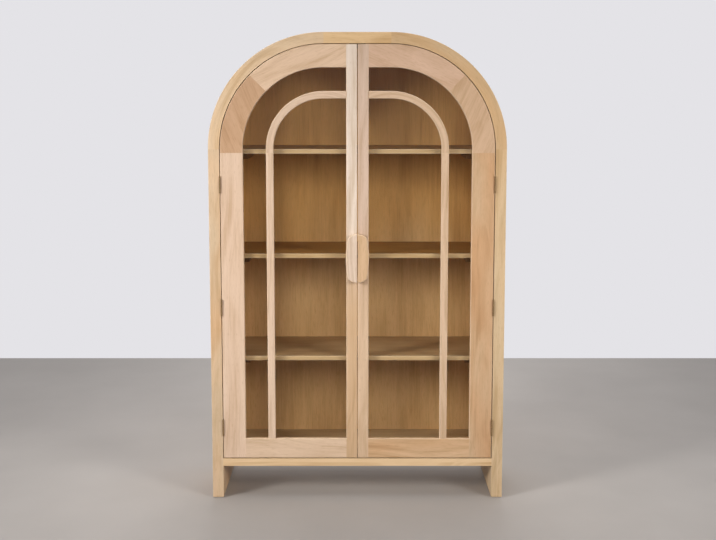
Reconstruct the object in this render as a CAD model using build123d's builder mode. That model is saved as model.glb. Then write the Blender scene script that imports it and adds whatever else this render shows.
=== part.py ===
from build123d import *

import os
from math import cos, radians, sin

# Arched display cabinet in pale solid wood: a case with two quarter-round top corners,
# three shelves and a plywood back, closed by a pair of glazed doors that follow the arch.
# Millimetres. +X is the cabinet's right as seen from the front, +Y its back, +Z up.
# The origin is on the floor, under the middle of the bounding box. Right-hand pieces are
# modelled and their mirror images make the left-hand ones.

# Case
cabinet_width = 1130
cabinet_height = 1800
case_depth = 400
corner_radius = 438          # outside radius of the two top corners
frame_thickness = 42         # side panels, corners and top
board_underside = 128        # clear height under the cabinet
board_thickness = 30
edge_round = 1.5             # rounding of the case's outer front edge
arris = 1.2                  # small bevel along the door gaps and the shelves' front edges

# Back panel, let into a rebate round the case
back_thickness = 10
back_lap = 12
back_clearance = 0.5
back_side_screw_count = 4
back_arc_screw_angles = (30, 65)
back_bottom_screw_count = 2  # from the middle to one side
back_bottom_screw_margin = 60

# Shelves, on four pins each, stiffened by a batten glued under each end. They share the
# height between the case's floor and the springing of the arch evenly.
shelf_count = 3
shelf_below_spring = 1       # top shelf's face under the spring line
shelf_thickness = 17
shelf_setback = 30           # shelf edge behind the case's front
shelf_end_clearance = 1
shelf_back_clearance = 1
batten_width = 40
batten_height = 24
batten_inset = 60            # from the shelf's end to the batten
batten_setback = 60          # from the shelf's front and back edges to the batten's ends
shelf_pin_radius = 2.5
shelf_pin_depth = 12         # let into the side panel
shelf_pin_reach = 10         # under the shelf
shelf_pin_tongue = 12
shelf_pin_setback = 50       # from the shelf's front and back edges

# Doors
door_gap = 3
door_thickness = 22
stile_width = 86             # outer stile and arched rail
meeting_stile_width = 41
bottom_rail_height = 77
stile_joint_drop = 14        # stile-to-arch joint below the spring line
arch_joint_angle = 45

# Glazing
bar_space = 88               # clear glass between the frame and the inner glazing bar
bar_width = 28
lip_thickness = 12           # wood in front of the glass, and the bars' thickness
sight_bevel = 2.2            # along the front edges of the glazed openings and the bars
rebate_width = 8
glass_thickness = 4
glass_clearance = 1
bead_clearance = 0.3

# Pulls: a long oval cut in two, one half on each meeting stile. Flattened round ends meet
# the bulging sides at soft shoulders.
pull_width = 88
pull_height = 188
pull_centre = 948
pull_thickness = 24
pull_side_radius = 400       # the long sides bulge a little
pull_end_flatness = 5        # end radius more than half the width
pull_shoulder_radius = 12
pull_rim_radius = 5
cove_depth = 10              # finger grip cut behind the outer rim
cove_inset = 8

# Hinges: slim butt hinges in the door gap, with the barrel just proud of the front
hinge_length = 64
hinge_leaf_width = 18
hinge_leaf_thickness = 1.4
hinge_count = 3
hinge_knuckles = 3
hinge_pin_radius = 1.25
hinge_pin_clearance = 0.05
hinge_knuckle_wall = 1.4
hinge_knuckle_gap = 0.2
hinge_barrel_clearance = 0.3
hinge_end_inset = 120        # from the door's bottom and the stile's top to a hinge's middle
hinge_screw_spacing = 40

# Double magnetic catch hung from the case's top, behind the meeting stiles
catch_width = 60
catch_depth = 14
catch_height = 18
catch_screw_spacing = 46
magnet_width = 12
magnet_height = 9
magnet_depth = 5
magnet_spacing = 20
magnet_level = 10.5          # magnet's middle under the case's top
strike_width = 14
strike_height = 12
strike_thickness = 1.2
catch_air_gap = 0.4

# Feet
glide_height = 3
glide_radius = 12
glide_nail_radius = 1.5
glide_nail_length = 16
glide_setback = 45           # from the side panel's front and back edges

# Wood screws with countersunk heads. Their shanks and heads are six-sided.
fastener_sides = 6
large_screw_radius = 2.0
large_head_radius = 4.0
small_screw_radius = 1.4
small_head_radius = 2.6
screw_fit = 0.1
back_screw_length = 28
pull_screw_length = 34
pull_screw_spacing = 100
pull_screw_x = 22            # from the gap between the doors
hinge_screw_length = 16
catch_screw_length = 28
strike_screw_length = 14
hole_end_space = 1           # past the end of each screw, pin and tenon

# Loose tenons, glued half into each of the two pieces that meet: width, thickness, length
case_tenon = (40, 10, 50)
door_tenon = (46, 6, 40)
bar_tenon = (16, 5, 18)
tenon_fit = 0.1
case_tenon_count = 3
case_tenon_margin = 55       # from the front and back edges to the outer tenons' middles

# The case in figures
half_width = cabinet_width / 2
arc_x = half_width - corner_radius
spring_z = cabinet_height - corner_radius
inner_x = half_width - frame_thickness
case_radius = corner_radius - frame_thickness
front_y = (pull_thickness - case_depth) / 2
back_y = front_y + case_depth
back_face_y = back_y - back_thickness
board_top = board_underside + board_thickness
case_top = cabinet_height - frame_thickness
rebate_case_radius = case_radius + back_lap

# The door in figures
door_radius = case_radius - door_gap
door_edge = arc_x + door_radius
door_bottom = board_top + door_gap
door_inner = door_gap / 2
door_back_y = front_y + door_thickness
stile_top = spring_z - stile_joint_drop
sight_radius = door_radius - stile_width
sight_edge = arc_x + sight_radius
sight_inner = door_inner + meeting_stile_width
sight_bottom = door_bottom + bottom_rail_height
bar_outer_radius = sight_radius - bar_space
bar_inner_radius = bar_outer_radius - bar_width
bead_thickness = door_thickness - lip_thickness - glass_thickness

os.makedirs("parts", exist_ok=True)


def front_plane(depth=0, height=0):
    """Upright plane `depth` behind the front, x to the cabinet's right, y up from `height`."""
    return Plane((0, front_y + depth, height), x_dir=(1, 0, 0), z_dir=(0, -1, 0))


def save(piece, name):
    piece.part.label = name
    export_step(piece.part, f"parts/{name}.step")


def save_pair(piece, before, after=""):
    """Write the right-hand piece and its mirror image, named before_right_after."""
    save(piece, f"{before}right{after}")
    with BuildPart() as twin:
        mirror(piece.part, about=Plane.YZ)
    save(twin, f"{before}left{after}")


def spread(count, first, last):
    """Evenly spaced places from first to last."""
    return [first + (last - first) * step / (count - 1) for step in range(count)]


def arched_face(radius, left_x, bottom_z, depth=0):
    """Right half of an arched outline: flat top, quarter round about the corner, straight side."""
    with BuildSketch(front_plane(depth)) as face:
        with BuildLine():
            Polyline(
                (arc_x, spring_z + radius),
                (left_x, spring_z + radius),
                (left_x, bottom_z),
                (arc_x + radius, bottom_z),
                (arc_x + radius, spring_z),
            )
            CenterArc((arc_x, spring_z), radius, 0, 90)
        make_face()
    return face.sketch


def tenons(planes, size):
    """Loose tenons centred on the joint planes: width along x, thickness along y."""
    with Locations(*planes):
        Box(*size)


def mortises(planes, size):
    """Cut the room for such tenons out of the piece being built."""
    width, thickness, length = size
    with Locations(*planes):
        Box(
            width + 2 * tenon_fit,
            thickness + 2 * tenon_fit,
            length + 2 * hole_end_space,
            mode=Mode.SUBTRACT,
        )


def outlines(planes, radius):
    """A fastener's outline on each plane, as wide across its flats as twice the radius."""
    with BuildSketch(*planes) as outline:
        RegularPolygon(radius, fastener_sides, major_radius=False)
    return outline.sketch


def screws(planes, radius, head_radius, length):
    """Countersunk screws with the head's flat top on each plane, pointing against its normal."""
    extrude(outlines(planes, radius), amount=-length)
    extrude(outlines(planes, head_radius), amount=radius - head_radius, taper=45)


def pilot_bores(planes, radius, length):
    """The holes that such screws and pins need in the pieces that they go into."""
    extrude(
        outlines(planes, radius + screw_fit),
        amount=-length - hole_end_space,
        mode=Mode.SUBTRACT,
    )


def screw_bores(planes, radius, head_radius, length):
    """Countersunk holes for such screws, in the piece that holds their heads."""
    pilot_bores(planes, radius, length)
    extrude(
        outlines(planes, head_radius + screw_fit),
        amount=radius - head_radius,
        taper=45,
        mode=Mode.SUBTRACT,
    )


# ---------------------------------------------------------------------------------------
# Where the fastenings go
# ---------------------------------------------------------------------------------------
frame_middle = frame_thickness / 2


def case_joint(x, z, along):
    """Planes of the tenons in one joint of the case, whose pieces meet in the direction `along`."""
    places = spread(case_tenon_count, front_y + case_tenon_margin, back_face_y - case_tenon_margin)
    return [Plane((x, y, z), x_dir=(0, 1, 0), z_dir=along) for y in places]


def door_joint(x, z, angle=0):
    """Plane of a tenon in the door's lip, whose pieces meet `angle` degrees from the upright."""
    turn = radians(angle)
    return [
        Plane(
            (x, front_y + lip_thickness / 2, z),
            x_dir=(cos(turn), 0, sin(turn)),
            z_dir=(-sin(turn), 0, cos(turn)),
        )
    ]


corner_joint = case_joint(half_width - frame_middle, spring_z, (0, 0, 1))
top_joint = case_joint(arc_x, cabinet_height - frame_middle, (1, 0, 0))
board_joint = case_joint(inner_x, board_underside + board_thickness / 2, (1, 0, 0))

# Screws through the back panel into the rebate and the bottom board
lap_radius = case_radius + back_lap / 2
side_lap_z = spread(back_side_screw_count, board_top + board_thickness, spring_z - frame_thickness)
back_screw_points = [(arc_x + lap_radius, z) for z in side_lap_z]
back_screw_points += [
    (arc_x + lap_radius * cos(radians(a)), spring_z + lap_radius * sin(radians(a)))
    for a in back_arc_screw_angles
]
back_screw_points += [(0, spring_z + lap_radius)]
back_screw_points += [
    (x, board_underside + board_thickness / 2)
    for x in spread(back_bottom_screw_count, 0, inner_x - back_bottom_screw_margin)
]
back_screw_planes = [Plane((x, back_y, z), z_dir=(0, 1, 0)) for x, z in back_screw_points]

# Shelves and what holds them
shelf_names = ("lower", "middle", "upper")
shelf_pitch = (spring_z - shelf_below_spring - board_top) / shelf_count
shelf_tops = [board_top + shelf_pitch * (level + 1) for level in range(shelf_count)]
shelf_front_y = front_y + shelf_setback
shelf_back_y = back_face_y - shelf_back_clearance
shelf_end = inner_x - shelf_end_clearance
batten_outer = shelf_end - batten_inset
batten_ends = (shelf_front_y + batten_setback, shelf_back_y - batten_setback)
shelf_pin_y = (shelf_front_y + shelf_pin_setback, shelf_back_y - shelf_pin_setback)

# A flat of each pin's six-sided shank lies up, level with the shelf's underside
shelf_pin_planes = [
    Plane(
        (inner_x, y, top - shelf_thickness - shelf_pin_radius),
        x_dir=(0, 1, 0),
        z_dir=(-1, 0, 0),
    )
    for top in shelf_tops
    for y in shelf_pin_y
]

# Floor glides, nailed into the side panels
glide_planes = [
    Plane((half_width - frame_middle, y, 0), z_dir=(0, 0, -1))
    for y in (front_y + glide_setback, back_y - glide_setback)
]

# Hinges
barrel_radius = hinge_pin_radius + hinge_pin_clearance + hinge_knuckle_wall
hinge_axis_x = (door_edge + inner_x) / 2
hinge_axis_y = front_y - barrel_radius - hinge_barrel_clearance
hinge_middles = spread(hinge_count, door_bottom + hinge_end_inset, stile_top - hinge_end_inset)
hinge_screw_z = [z + side * hinge_screw_spacing / 2 for z in hinge_middles for side in (-1, 1)]
leaf_middle_y = front_y + hinge_leaf_width / 2
case_leaf_screws = [
    Plane((inner_x - hinge_leaf_thickness, leaf_middle_y, z), z_dir=(-1, 0, 0))
    for z in hinge_screw_z
]
door_leaf_screws = [
    Plane((door_edge + hinge_leaf_thickness, leaf_middle_y, z), z_dir=(1, 0, 0))
    for z in hinge_screw_z
]

# Catch
catch_front_y = door_back_y + strike_thickness + catch_air_gap
catch_middle_y = catch_front_y + magnet_depth + (catch_depth - magnet_depth) / 2
catch_screw_planes = [
    Plane((side * catch_screw_spacing / 2, catch_middle_y, case_top - catch_height), z_dir=(0, 0, -1))
    for side in (-1, 1)
]
strike_plane = Plane(
    (magnet_spacing / 2, door_back_y + strike_thickness, case_top - magnet_level),
    x_dir=(1, 0, 0),
    z_dir=(0, 1, 0),
)

# Pulls
pull_screw_planes = [
    Plane((pull_screw_x, door_back_y, pull_centre + side * pull_screw_spacing / 2), z_dir=(0, 1, 0))
    for side in (-1, 1)
]

# The door's joints, each at the middle of the members' front faces
arch_middle = (sight_radius + door_radius) / 2
rail_middle = (door_bottom + sight_bottom) / 2
bar_middle = (bar_outer_radius + bar_inner_radius) / 2
joint_angle = radians(arch_joint_angle)
stile_arch_joint = door_joint(arc_x + arch_middle, stile_top)
arch_arch_joint = door_joint(
    arc_x + arch_middle * cos(joint_angle), spring_z + arch_middle * sin(joint_angle), arch_joint_angle
)
arch_meeting_joint = door_joint(sight_inner, spring_z + arch_middle, 90)
rail_meeting_joint = door_joint(sight_inner, rail_middle, 90)
rail_stile_joint = door_joint(sight_edge, rail_middle, 90)
bar_joints = (
    door_joint(arc_x + bar_middle, sight_bottom)
    + door_joint(arc_x + bar_middle, stile_top)
    + door_joint(sight_inner, spring_z + bar_middle, 90)
)


# ---------------------------------------------------------------------------------------
# Case
# ---------------------------------------------------------------------------------------
# The right half of the case's arched shell, rebated for the back. The side panel, the
# corner and the top are cut from it, so that their faces run through the joints.
with BuildPart() as shell:
    extrude(arched_face(corner_radius, 0, glide_height), amount=-case_depth)
    outer_edge = shell.faces().sort_by(Axis.Y)[0].edges().filter_by(
        lambda edge: edge.center().X > inner_x or edge.center().Z > spring_z
    )
    fillet(outer_edge, edge_round)
    extrude(arched_face(case_radius, 0, glide_height), amount=-case_depth, mode=Mode.SUBTRACT)
    extrude(
        arched_face(rebate_case_radius, 0, board_underside, case_depth - back_thickness),
        amount=-back_thickness,
        mode=Mode.SUBTRACT,
    )

with BuildPart() as side_panel:
    with BuildSketch(Plane.XY):
        Rectangle(2 * cabinet_width, 2 * case_depth)
    extrude(amount=spring_z)
    add(shell.part, mode=Mode.INTERSECT)
    mortises(corner_joint + board_joint, case_tenon)
    pilot_bores(case_leaf_screws, small_screw_radius, hinge_screw_length)
    pilot_bores(back_screw_planes, large_screw_radius, back_screw_length)
    pilot_bores(shelf_pin_planes, shelf_pin_radius, shelf_pin_depth)
    pilot_bores(glide_planes, glide_nail_radius, glide_height + glide_nail_length)
save_pair(side_panel, "side_panel_")

with BuildPart() as arch_corner:
    with BuildSketch(Plane.XY.offset(spring_z)):
        with Locations((arc_x, 0)):
            Rectangle(cabinet_width, 2 * case_depth, align=(Align.MIN, Align.CENTER))
    extrude(amount=corner_radius)
    add(shell.part, mode=Mode.INTERSECT)
    mortises(corner_joint + top_joint, case_tenon)
    pilot_bores(back_screw_planes, large_screw_radius, back_screw_length)
save_pair(arch_corner, "arch_corner_")

with BuildPart() as top_panel:
    with BuildSketch(Plane.XY.offset(spring_z)):
        Rectangle(arc_x, 2 * case_depth, align=(Align.MIN, Align.CENTER))
    extrude(amount=corner_radius)
    add(shell.part, mode=Mode.INTERSECT)
    mortises(top_joint, case_tenon)
    pilot_bores(back_screw_planes, large_screw_radius, back_screw_length)
    pilot_bores(catch_screw_planes, small_screw_radius, catch_screw_length)
    mirror(about=Plane.YZ)
save(top_panel, "top_panel")

with BuildPart() as bottom_board:
    with BuildSketch(Plane.XY.offset(board_underside)):
        with Locations((0, front_y)):
            Rectangle(inner_x, case_depth - back_thickness, align=Align.MIN)
    extrude(amount=board_thickness)
    mortises(board_joint, case_tenon)
    pilot_bores(back_screw_planes, large_screw_radius, back_screw_length)
    mirror(about=Plane.YZ)
save(bottom_board, "bottom_board")

with BuildPart() as back_panel:
    extrude(
        arched_face(
            rebate_case_radius - back_clearance,
            0,
            board_underside,
            case_depth - back_thickness,
        ),
        amount=-back_thickness,
    )
    screw_bores(back_screw_planes, large_screw_radius, large_head_radius, back_screw_length)
    mirror(about=Plane.YZ)
save(back_panel, "back_panel")

with BuildPart() as back_screws:
    screws(back_screw_planes, large_screw_radius, large_head_radius, back_screw_length)
    mirror(about=Plane.YZ)
save(back_screws, "back_screws")

with BuildPart() as case_tenons:
    tenons(corner_joint + top_joint + board_joint, case_tenon)
    mirror(about=Plane.YZ)
save(case_tenons, "case_tenons")

with BuildPart() as floor_glides:
    with Locations(*glide_planes):
        Cylinder(glide_radius, glide_height, align=(Align.CENTER, Align.CENTER, Align.MAX))
    extrude(outlines(glide_planes, glide_nail_radius), amount=-glide_height - glide_nail_length)
    mirror(about=Plane.YZ)
save(floor_glides, "floor_glides")

# ---------------------------------------------------------------------------------------
# Shelves
# ---------------------------------------------------------------------------------------
for shelf_name, top in zip(shelf_names, shelf_tops):
    with BuildPart() as shelf:
        with BuildSketch(Plane.XY.offset(top)):
            with Locations((0, shelf_front_y)):
                Rectangle(2 * shelf_end, shelf_back_y - shelf_front_y, align=(Align.CENTER, Align.MIN))
        extrude(amount=-shelf_thickness)
        chamfer(shelf.faces().sort_by(Axis.Y)[0].edges().filter_by(Axis.X), arris)
    save(shelf, f"shelf_{shelf_name}")

with BuildPart() as shelf_battens:
    for top in shelf_tops:
        with BuildSketch(Plane.XY.offset(top - shelf_thickness)):
            with Locations((batten_outer, batten_ends[0])):
                Rectangle(
                    batten_width, batten_ends[1] - batten_ends[0], align=(Align.MAX, Align.MIN)
                )
        extrude(amount=-batten_height)
    mirror(about=Plane.YZ)
save(shelf_battens, "shelf_battens")

# A six-sided shank in the side panel, and a flat tongue level with its top under the shelf
with BuildPart() as shelf_pins:
    extrude(outlines(shelf_pin_planes, shelf_pin_radius), amount=-shelf_pin_depth)
    for plane in shelf_pin_planes:
        with BuildSketch(Plane.XY.offset(plane.origin.Z + shelf_pin_radius)):
            with Locations((inner_x, plane.origin.Y)):
                Rectangle(shelf_pin_reach, shelf_pin_tongue, align=(Align.MAX, Align.CENTER))
        extrude(amount=-shelf_pin_radius)
    mirror(about=Plane.YZ)
save(shelf_pins, "shelf_pins")

# ---------------------------------------------------------------------------------------
# Catch
# ---------------------------------------------------------------------------------------
with BuildPart() as catch_magnets:
    with BuildSketch(front_plane(catch_front_y - front_y)):
        with Locations((0, case_top - magnet_level)):
            with GridLocations(magnet_spacing, 0, 2, 1):
                Rectangle(magnet_width, magnet_height)
    extrude(amount=-magnet_depth)
save(catch_magnets, "catch_magnets")

with BuildPart() as catch_body:
    with BuildSketch(front_plane(catch_front_y - front_y)):
        with Locations((0, case_top)):
            Rectangle(catch_width, catch_height, align=(Align.CENTER, Align.MAX))
    extrude(amount=-catch_depth)
    chamfer(catch_body.faces().sort_by(Axis.Z)[0].edges(), arris)
    add(catch_magnets.part, mode=Mode.SUBTRACT)
    screw_bores(catch_screw_planes, small_screw_radius, small_head_radius, catch_screw_length)
save(catch_body, "catch_body")

with BuildPart() as catch_screws:
    screws(catch_screw_planes, small_screw_radius, small_head_radius, catch_screw_length)
save(catch_screws, "catch_screws")

# ---------------------------------------------------------------------------------------
# Door frame. Each member is a plain block trimmed to the door's outline, less the window.
# ---------------------------------------------------------------------------------------
with BuildPart() as door_blank:
    extrude(arched_face(door_radius, door_inner, door_bottom), amount=-door_thickness)
    chamfer(door_blank.faces().sort_by(Axis.Y)[0].edges(), arris)

with BuildPart() as window:
    extrude(arched_face(sight_radius, sight_inner, sight_bottom), amount=-door_thickness)
    extrude(
        arched_face(sight_radius + sight_bevel, sight_inner - sight_bevel, sight_bottom - sight_bevel),
        amount=-sight_bevel,
        taper=45,
    )
    extrude(
        arched_face(
            sight_radius + rebate_width,
            sight_inner - rebate_width,
            sight_bottom - rebate_width,
            lip_thickness,
        ),
        amount=-(door_thickness - lip_thickness),
    )


def trim_to_door():
    """Trim the member being built to the door's outline and cut the window out of it."""
    add(door_blank.part, mode=Mode.INTERSECT)
    add(window.part, mode=Mode.SUBTRACT)


with BuildPart() as outer_stile:
    with BuildSketch(front_plane()):
        with Locations((sight_edge, 0)):
            Rectangle(stile_width, stile_top, align=Align.MIN)
    extrude(amount=-door_thickness)
    trim_to_door()
    mortises(stile_arch_joint + rail_stile_joint, door_tenon)
    pilot_bores(door_leaf_screws, small_screw_radius, hinge_screw_length)
save_pair(outer_stile, "", "_door_outer_stile")

with BuildPart() as meeting_stile:
    with BuildSketch(front_plane()):
        Rectangle(sight_inner, cabinet_height, align=Align.MIN)
    extrude(amount=-door_thickness)
    trim_to_door()
    mortises(arch_meeting_joint + rail_meeting_joint, door_tenon)
    mortises(bar_joints, bar_tenon)
    pilot_bores([strike_plane], small_screw_radius, strike_screw_length)
    screw_bores(pull_screw_planes, large_screw_radius, large_head_radius, pull_screw_length)
save_pair(meeting_stile, "", "_door_meeting_stile")

with BuildPart() as bottom_rail:
    with BuildSketch(front_plane()):
        with Locations((sight_inner, 0)):
            Rectangle(sight_edge - sight_inner, sight_bottom, align=Align.MIN)
    extrude(amount=-door_thickness)
    trim_to_door()
    mortises(rail_meeting_joint + rail_stile_joint, door_tenon)
    mortises(bar_joints, bar_tenon)
save_pair(bottom_rail, "", "_door_bottom_rail")

# The arched rail's two lengths meet on a line through the centre of the arch
arch_cut_x = cabinet_width * cos(joint_angle)
arch_cut_z = cabinet_width * sin(joint_angle)
with BuildPart() as arch_lower:
    with BuildSketch(front_plane()):
        with Locations((arc_x, spring_z)):
            Polygon(
                (0, -stile_joint_drop),
                (cabinet_width, -stile_joint_drop),
                (cabinet_width, 0),
                (arch_cut_x, arch_cut_z),
                (0, 0),
                align=None,
            )
    extrude(amount=-door_thickness)
    trim_to_door()
    mortises(stile_arch_joint + arch_arch_joint, door_tenon)
save_pair(arch_lower, "", "_door_arch_lower")

with BuildPart() as arch_upper:
    with BuildSketch(front_plane()):
        with Locations((arc_x, spring_z)):
            Polygon(
                (0, 0),
                (arch_cut_x, arch_cut_z),
                (0, 2 * cabinet_width),
                (sight_inner - arc_x, 2 * cabinet_width),
                (sight_inner - arc_x, 0),
                align=None,
            )
    extrude(amount=-door_thickness)
    trim_to_door()
    mortises(arch_arch_joint + arch_meeting_joint, door_tenon)
save_pair(arch_upper, "", "_door_arch_upper")

# ---------------------------------------------------------------------------------------
# Glazing bars, glass and beads
# ---------------------------------------------------------------------------------------
with BuildPart() as bar_blank:
    extrude(arched_face(bar_outer_radius, sight_inner, sight_bottom), amount=-lip_thickness)
    extrude(
        arched_face(bar_inner_radius, sight_inner, sight_bottom),
        amount=-lip_thickness,
        mode=Mode.SUBTRACT,
    )
    front_edges = bar_blank.faces().sort_by(Axis.Y)[0].edges()
    bar_ends = (sight_inner + sight_bevel, sight_bottom + sight_bevel)
    chamfer(
        front_edges.filter_by(
            lambda edge: edge.center().X > bar_ends[0] and edge.center().Z > bar_ends[1]
        ),
        sight_bevel,
    )

with BuildPart() as bar_upright:
    with BuildSketch(front_plane()):
        Rectangle(cabinet_width, stile_top, align=Align.MIN)
    extrude(amount=-lip_thickness)
    add(bar_blank.part, mode=Mode.INTERSECT)
    mortises(bar_joints, bar_tenon)
save_pair(bar_upright, "", "_door_bar_upright")

with BuildPart() as bar_arch:
    with BuildSketch(front_plane()):
        with Locations((0, stile_top)):
            Rectangle(cabinet_width, cabinet_height, align=Align.MIN)
    extrude(amount=-lip_thickness)
    add(bar_blank.part, mode=Mode.INTERSECT)
    mortises(bar_joints, bar_tenon)
save_pair(bar_arch, "", "_door_bar_arch")

with BuildPart() as glass:
    extrude(
        arched_face(
            sight_radius + rebate_width - glass_clearance,
            sight_inner - rebate_width + glass_clearance,
            sight_bottom - rebate_width + glass_clearance,
            lip_thickness,
        ),
        amount=-glass_thickness,
    )
save_pair(glass, "", "_door_glass")

# Four strips round the back of the glass: arched rail, outer stile, bottom and meeting stile
bead_width = rebate_width - bead_clearance
bead_depth = lip_thickness + glass_thickness
with BuildPart() as beads:
    extrude(
        arched_face(
            sight_radius + bead_width, sight_inner - bead_width, sight_bottom - bead_width, bead_depth
        ),
        amount=-bead_thickness,
    )
    extrude(
        arched_face(sight_radius, sight_inner, sight_bottom, bead_depth),
        amount=-bead_thickness,
        mode=Mode.SUBTRACT,
    )
    with BuildSketch(front_plane(bead_depth)):
        with Locations((sight_edge, spring_z), (sight_edge, sight_bottom)):
            Rectangle(stile_width, bead_clearance)
        with Locations((sight_inner, sight_bottom)):
            Rectangle(bead_clearance, bottom_rail_height)
        with Locations((sight_inner, spring_z + sight_radius)):
            Rectangle(bead_clearance, stile_width)
    extrude(amount=-bead_thickness, mode=Mode.SUBTRACT)
save_pair(beads, "", "_door_glazing_beads")

with BuildPart() as door_tenons:
    tenons(
        stile_arch_joint + arch_arch_joint + arch_meeting_joint + rail_meeting_joint + rail_stile_joint,
        door_tenon,
    )
    tenons(bar_joints, bar_tenon)
save_pair(door_tenons, "", "_door_tenons")

# ---------------------------------------------------------------------------------------
# Pull: rim rounded in front, cove behind. Its outline is a straight-sided oval trimmed by the
# long arc of its side.
# ---------------------------------------------------------------------------------------
with BuildPart() as pull:
    with BuildSketch(front_plane(height=pull_centre)) as pull_face:
        SlotOverall(pull_height, pull_width + 2 * pull_end_flatness, rotation=90)
        with Locations((pull_width / 2 - pull_side_radius, 0)):
            Circle(pull_side_radius, mode=Mode.INTERSECT)
        with Locations((door_inner, 0)):
            Rectangle(pull_width, pull_height, align=(Align.MIN, Align.CENTER), mode=Mode.INTERSECT)
        shoulders = pull_face.vertices().filter_by(lambda corner: corner.X > pull_width / 4)
        fillet(shoulders, pull_shoulder_radius)
    extrude(amount=pull_thickness)
    rim = pull.edges().filter_by(lambda edge: edge.center().X > pull_screw_x / 2)
    fillet(rim.group_by(Axis.Y)[0], pull_rim_radius)
    back_rim = pull.faces().sort_by(Axis.Y)[-1].edges()
    chamfer(
        back_rim.filter_by(lambda edge: edge.center().X > pull_screw_x / 2),
        cove_inset,
        cove_depth,
    )
    pilot_bores(pull_screw_planes, large_screw_radius, pull_screw_length)
save_pair(pull, "", "_door_pull")

with BuildPart() as pull_screws:
    screws(pull_screw_planes, large_screw_radius, large_head_radius, pull_screw_length)
save_pair(pull_screws, "", "_door_pull_screws")

with BuildPart() as strike:
    with BuildSketch(strike_plane):
        Rectangle(strike_width, strike_height)
    extrude(amount=-strike_thickness)
    screw_bores([strike_plane], small_screw_radius, small_head_radius, strike_screw_length)
save_pair(strike, "", "_door_strike")

with BuildPart() as strike_screw:
    screws([strike_plane], small_screw_radius, small_head_radius, strike_screw_length)
save_pair(strike_screw, "", "_door_strike_screw")

# ---------------------------------------------------------------------------------------
# Hinges: the case's leaf carries the odd knuckles, the door's leaf the even ones
# ---------------------------------------------------------------------------------------
knuckle_pitch = hinge_length / hinge_knuckles


def hinge_leaves(side, knuckles):
    """Leaves of the three hinges on one side of the axis: +1 for the case, -1 for the door."""
    inner_face = (inner_x - door_edge) / 2 - hinge_leaf_thickness
    leaf_x = hinge_axis_x + side * inner_face
    leaf_align = (Align.MIN if side > 0 else Align.MAX, Align.MIN)
    for middle in hinge_middles:
        bottom = middle - hinge_length / 2
        with BuildSketch(Plane.XY.offset(bottom)) as plate:
            with Locations((leaf_x, front_y)):
                Rectangle(hinge_leaf_thickness, hinge_leaf_width, align=leaf_align)
        extrude(plate.sketch, amount=hinge_length)
        for knuckle in knuckles:
            low = bottom + knuckle * knuckle_pitch + hinge_knuckle_gap / 2
            with BuildSketch(Plane.XY.offset(low)) as ring:
                with Locations((hinge_axis_x, hinge_axis_y)):
                    Circle(barrel_radius)
                with Locations((leaf_x, hinge_axis_y)):
                    Rectangle(hinge_leaf_thickness, front_y - hinge_axis_y, align=leaf_align)
                with Locations((hinge_axis_x, hinge_axis_y)):
                    Circle(hinge_pin_radius + hinge_pin_clearance, mode=Mode.SUBTRACT)
            extrude(ring.sketch, amount=knuckle_pitch - hinge_knuckle_gap)


with BuildPart() as hinge_case_leaves:
    hinge_leaves(1, range(0, hinge_knuckles, 2))
    screw_bores(case_leaf_screws, small_screw_radius, small_head_radius, hinge_screw_length)
save_pair(hinge_case_leaves, "", "_hinge_case_leaves")

with BuildPart() as hinge_door_leaves:
    hinge_leaves(-1, range(1, hinge_knuckles, 2))
    screw_bores(door_leaf_screws, small_screw_radius, small_head_radius, hinge_screw_length)
save_pair(hinge_door_leaves, "", "_hinge_door_leaves")

# Pins flush with the ends of the barrels
with BuildPart() as hinge_pins:
    with Locations(*[(hinge_axis_x, hinge_axis_y, middle) for middle in hinge_middles]):
        Cylinder(hinge_pin_radius, hinge_length)
save_pair(hinge_pins, "", "_hinge_pins")

with BuildPart() as hinge_case_screws:
    screws(case_leaf_screws, small_screw_radius, small_head_radius, hinge_screw_length)
save_pair(hinge_case_screws, "", "_hinge_case_screws")

with BuildPart() as hinge_door_screws:
    screws(door_leaf_screws, small_screw_radius, small_head_radius, hinge_screw_length)
save_pair(hinge_door_screws, "", "_hinge_door_screws")
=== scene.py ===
import random
from math import radians

import bpy
from mathutils import Matrix, Vector


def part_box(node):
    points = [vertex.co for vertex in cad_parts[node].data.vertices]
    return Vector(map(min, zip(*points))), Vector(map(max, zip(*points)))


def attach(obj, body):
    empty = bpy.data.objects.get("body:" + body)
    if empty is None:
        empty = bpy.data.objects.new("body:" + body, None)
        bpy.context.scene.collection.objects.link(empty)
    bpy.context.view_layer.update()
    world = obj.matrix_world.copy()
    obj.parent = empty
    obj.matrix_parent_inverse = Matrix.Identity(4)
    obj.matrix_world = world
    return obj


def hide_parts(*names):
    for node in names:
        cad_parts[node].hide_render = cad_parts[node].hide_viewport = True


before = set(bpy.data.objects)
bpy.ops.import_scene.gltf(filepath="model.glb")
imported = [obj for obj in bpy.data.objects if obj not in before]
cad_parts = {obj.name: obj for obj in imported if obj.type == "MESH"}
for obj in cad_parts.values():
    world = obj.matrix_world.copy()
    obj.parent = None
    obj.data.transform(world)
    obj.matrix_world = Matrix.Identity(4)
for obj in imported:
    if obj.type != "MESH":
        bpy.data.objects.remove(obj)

bpy.ops.object.select_all(action="DESELECT")
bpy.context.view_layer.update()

# ---------------------------------------------------------------------------------------
# Camera: at eye level, a good four metres in front of the doors, tilted down a little so
# that its frame needs only a small shift. The picture is 716 by 540.
# ---------------------------------------------------------------------------------------
EYE_HEIGHT = 1.57
EYE_DISTANCE = 4.286               # from the case's front
TILT_DOWN = 6.67                   # degrees
LENS_MM = 57.0
FRAME_DROP = -0.0608               # in widths of the picture
FRAME_SIDE = 0.0008

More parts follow.
